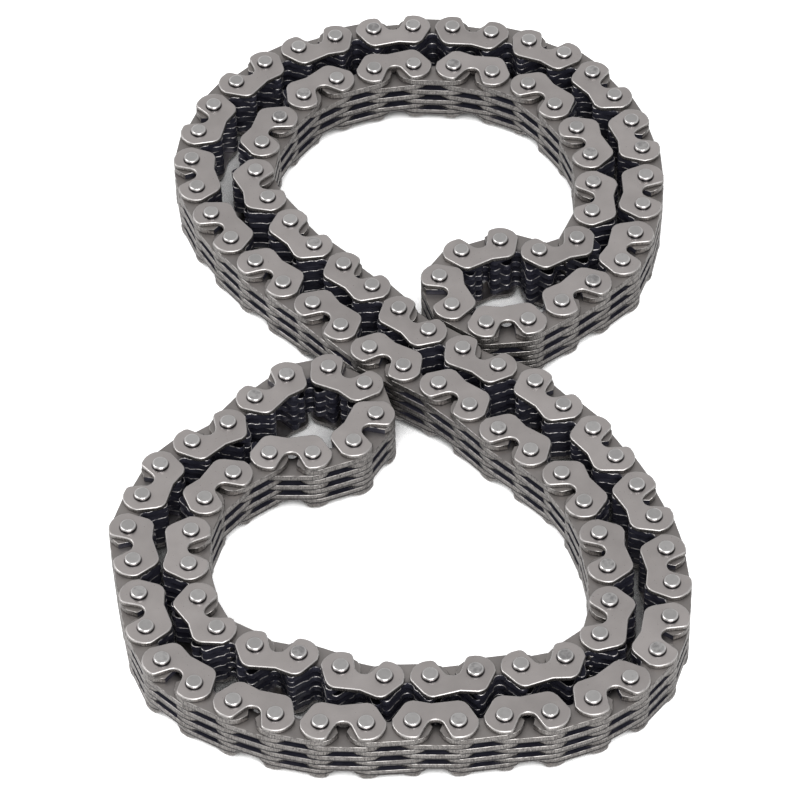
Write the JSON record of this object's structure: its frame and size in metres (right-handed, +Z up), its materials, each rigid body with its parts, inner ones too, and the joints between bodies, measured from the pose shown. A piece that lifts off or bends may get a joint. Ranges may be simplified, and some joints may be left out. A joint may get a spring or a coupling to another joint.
{
  "type": "silent timing chain",
  "caption": "Closed inverted-tooth cam chain of an engine, made of toothed link plates, notched guide plates and round pins, lying folded up on its side.",
  "frame": {"origin": "on the surface that the chain lies on, under the middle of its bounding box", "axes": "+X across the folded chain, +Y along it, +Z up along the pins"},
  "size_m": [0.0838, 0.1486, 0.01],
  "materials": {
    "pin": "bright turned pin end, lightly oiled",
    "guide_plate": "satin grey stamped plate",
    "toothed_plate": "darker satin plate with grey sheared edges and oily teeth"
  },
  "bodies": {
    "section_01": {"pins_01": "pin", "guide_plates_01": "guide_plate", "tooth_plates_01": "toothed_plate"},
    "section_02": {"pins_02": "pin", "guide_plates_02": "guide_plate", "tooth_plates_02": "toothed_plate"},
    "section_03": {"pins_03": "pin", "guide_plates_03": "guide_plate", "tooth_plates_03": "toothed_plate"},
    "section_04": {"pins_04": "pin", "guide_plates_04": "guide_plate", "tooth_plates_04": "toothed_plate"},
    "section_05": {"pins_05": "pin", "guide_plates_05": "guide_plate", "tooth_plates_05": "toothed_plate"},
    "section_06": {"pins_06": "pin", "guide_plates_06": "guide_plate", "tooth_plates_06": "toothed_plate"},
    "section_07": {"pins_07": "pin", "guide_plates_07": "guide_plate", "tooth_plates_07": "toothed_plate"},
    "section_08": {"pins_08": "pin", "guide_plates_08": "guide_plate", "tooth_plates_08": "toothed_plate"},
    "section_09": {"pins_09": "pin", "guide_plates_09": "guide_plate", "tooth_plates_09": "toothed_plate"},
    "section_10": {"pins_10": "pin", "guide_plates_10": "guide_plate", "tooth_plates_10": "toothed_plate"},
    "section_11": {"pins_11": "pin", "guide_plates_11": "guide_plate", "tooth_plates_11": "toothed_plate"},
    "section_12": {"pins_12": "pin", "guide_plates_12": "guide_plate", "tooth_plates_12": "toothed_plate"},
    "section_13": {"pins_13": "pin", "guide_plates_13": "guide_plate", "tooth_plates_13": "toothed_plate"},
    "section_14": {"pins_14": "pin", "guide_plates_14": "guide_plate", "tooth_plates_14": "toothed_plate"},
    "folding_link_01": {"folding_link_01": "toothed_plate"},
    "folding_link_02": {"folding_link_02": "toothed_plate"},
    "folding_link_03": {"folding_link_03": "toothed_plate"},
    "folding_link_04": {"folding_link_04": "toothed_plate"},
    "folding_link_05": {"folding_link_05": "toothed_plate"},
    "folding_link_06": {"folding_link_06": "toothed_plate"},
    "folding_link_07": {"folding_link_07": "toothed_plate"},
    "folding_link_08": {"folding_link_08": "toothed_plate"},
    "folding_link_09": {"folding_link_09": "toothed_plate"},
    "folding_link_10": {"folding_link_10": "toothed_plate"},
    "folding_link_11": {"folding_link_11": "toothed_plate"},
    "folding_link_12": {"folding_link_12": "toothed_plate"},
    "folding_link_13": {"folding_link_13": "toothed_plate"},
    "folding_link_14": {"folding_link_14": "toothed_plate"}
  },
  "joints": [
    {"name": "hinge_035", "type": "hinge", "parent": "section_01", "child": "folding_link_01", "pos_m": [0.01044, -0.01217, 0.005], "axis": [0, 0, 1], "range_deg": [-14, 3]},
    {"name": "hinge_036", "type": "hinge", "parent": "folding_link_01", "child": "section_02", "pos_m": [0.01453, -0.01703, 0.005], "axis": [0, 0, 1], "range_deg": [-3, 14]},
    {"name": "hinge_045", "type": "hinge", "parent": "section_02", "child": "folding_link_02", "pos_m": [0.01616, -0.06179, 0.005], "axis": [0, 0, 1], "range_deg": [-4, 8]},
    {"name": "hinge_046", "type": "hinge", "parent": "folding_link_02", "child": "section_03", "pos_m": [0.00985, -0.06255, 0.005], "axis": [0, 0, 1], "range_deg": [-8, 4]},
    {"name": "hinge_055", "type": "hinge", "parent": "section_03", "child": "folding_link_03", "pos_m": [-0.03007, -0.03545, 0.005], "axis": [0, 0, 1], "range_deg": [-14, 14]},
    {"name": "hinge_056", "type": "hinge", "parent": "folding_link_03", "child": "section_04", "pos_m": [-0.02821, -0.02938, 0.005], "axis": [0, 0, 1], "range_deg": [-14, 14]},
    {"name": "hinge_069", "type": "hinge", "parent": "section_04", "child": "folding_link_04", "pos_m": [-0.03722, -0.02845, 0.005], "axis": [0, 0, 1], "range_deg": [-14, 14]},
    {"name": "hinge_070", "type": "hinge", "parent": "folding_link_04", "child": "section_05", "pos_m": [-0.03909, -0.03452, 0.005], "axis": [0, 0, 1], "range_deg": [-14, 14]},
    {"name": "hinge_081", "type": "hinge", "parent": "section_05", "child": "folding_link_05", "pos_m": [0.00726, -0.07141, 0.005], "axis": [0, 0, 1], "range_deg": [-4, 8]},
    {"name": "hinge_082", "type": "hinge", "parent": "folding_link_05", "child": "section_06", "pos_m": [0.01357, -0.07065, 0.005], "axis": [0, 0, 1], "range_deg": [-8, 4]},
    {"name": "hinge_093", "type": "hinge", "parent": "section_06", "child": "folding_link_06", "pos_m": [0.02832, -0.0175, 0.005], "axis": [0, 0, 1], "range_deg": [-14, 3]},
    {"name": "hinge_094", "type": "hinge", "parent": "folding_link_06", "child": "section_07", "pos_m": [0.02423, -0.01265, 0.005], "axis": [0, 0, 1], "range_deg": [-3, 14]},
    {"name": "hinge_030", "type": "hinge", "parent": "section_01", "child": "folding_link_14", "pos_m": [-0.01253, 0.00955, 0.005], "axis": [0, 0, 1], "range_deg": [-14, 3]},
    {"name": "hinge_029", "type": "hinge", "parent": "folding_link_14", "child": "section_14", "pos_m": [-0.017, 0.01407, 0.005], "axis": [0, 0, 1], "range_deg": [-3, 14]},
    {"name": "hinge_024", "type": "hinge", "parent": "section_14", "child": "folding_link_13", "pos_m": [-0.03129, 0.04167, 0.005], "axis": [0, 0, 1], "range_deg": [-14, 4]},
    {"name": "hinge_023", "type": "hinge", "parent": "folding_link_13", "child": "section_13", "pos_m": [-0.03031, 0.04795, 0.005], "axis": [0, 0, 1], "range_deg": [-4, 14]},
    {"name": "hinge_016", "type": "hinge", "parent": "section_13", "child": "folding_link_12", "pos_m": [0.00376, 0.07144, 0.005], "axis": [0, 0, 1], "range_deg": [-4, 14]},
    {"name": "hinge_015", "type": "hinge", "parent": "folding_link_12", "child": "section_12", "pos_m": [0.01009, 0.07093, 0.005], "axis": [0, 0, 1], "range_deg": [-14, 4]},
    {"name": "hinge_008", "type": "hinge", "parent": "section_12", "child": "folding_link_11", "pos_m": [0.0389, 0.04183, 0.005], "axis": [0, 0, 1], "range_deg": [-4, 14]},
    {"name": "hinge_007", "type": "hinge", "parent": "folding_link_11", "child": "section_11", "pos_m": [0.03909, 0.03549, 0.005], "axis": [0, 0, 1], "range_deg": [-14, 4]},
    {"name": "hinge_118", "type": "hinge", "parent": "section_11", "child": "folding_link_10", "pos_m": [0.03095, 0.03426, 0.005], "axis": [0, 0, 1], "range_deg": [-4, 14]},
    {"name": "hinge_117", "type": "hinge", "parent": "folding_link_10", "child": "section_10", "pos_m": [0.03077, 0.04061, 0.005], "axis": [0, 0, 1], "range_deg": [-14, 4]},
    {"name": "hinge_112", "type": "hinge", "parent": "section_10", "child": "folding_link_09", "pos_m": [0.01003, 0.06186, 0.005], "axis": [0, 0, 1], "range_deg": [-4, 14]},
    {"name": "hinge_111", "type": "hinge", "parent": "folding_link_09", "child": "section_09", "pos_m": [0.0037, 0.06238, 0.005], "axis": [0, 0, 1], "range_deg": [-14, 4]},
    {"name": "hinge_106", "type": "hinge", "parent": "section_09", "child": "folding_link_08", "pos_m": [-0.02034, 0.04501, 0.005], "axis": [0, 0, 1], "range_deg": [-14, 4]},
    {"name": "hinge_105", "type": "hinge", "parent": "folding_link_08", "child": "section_08", "pos_m": [-0.02132, 0.03874, 0.005], "axis": [0, 0, 1], "range_deg": [-4, 14]},
    {"name": "hinge_102", "type": "hinge", "parent": "section_08", "child": "folding_link_07", "pos_m": [-0.01228, 0.02217, 0.005], "axis": [0, 0, 1], "range_deg": [-14, 3]}
  ],
  "couplings": [
    {"joint": "hinge_036", "follows": "hinge_035", "ratio": -1},
    {"joint": "hinge_093", "follows": "hinge_035", "ratio": 1},
    {"joint": "hinge_094", "follows": "hinge_035", "ratio": -1},
    {"joint": "hinge_046", "follows": "hinge_045", "ratio": -1},
    {"joint": "hinge_081", "follows": "hinge_045", "ratio": 1},
    {"joint": "hinge_082", "follows": "hinge_045", "ratio": -1},
    {"joint": "hinge_056", "follows": "hinge_055", "ratio": -1},
    {"joint": "hinge_069", "follows": "hinge_055", "ratio": 1},
    {"joint": "hinge_070", "follows": "hinge_055", "ratio": -1},
    {"joint": "hinge_029", "follows": "hinge_030", "ratio": -1},
    {"joint": "hinge_102", "follows": "hinge_030", "ratio": 1},
    {"joint": "hinge_023", "follows": "hinge_024", "ratio": -1},
    {"joint": "hinge_106", "follows": "hinge_024", "ratio": 1},
    {"joint": "hinge_105", "follows": "hinge_024", "ratio": -1},
    {"joint": "hinge_015", "follows": "hinge_016", "ratio": -1},
    {"joint": "hinge_112", "follows": "hinge_016", "ratio": 1},
    {"joint": "hinge_111", "follows": "hinge_016", "ratio": -1},
    {"joint": "hinge_007", "follows": "hinge_008", "ratio": -1},
    {"joint": "hinge_118", "follows": "hinge_008", "ratio": 1},
    {"joint": "hinge_117", "follows": "hinge_008", "ratio": -1}
  ]
}
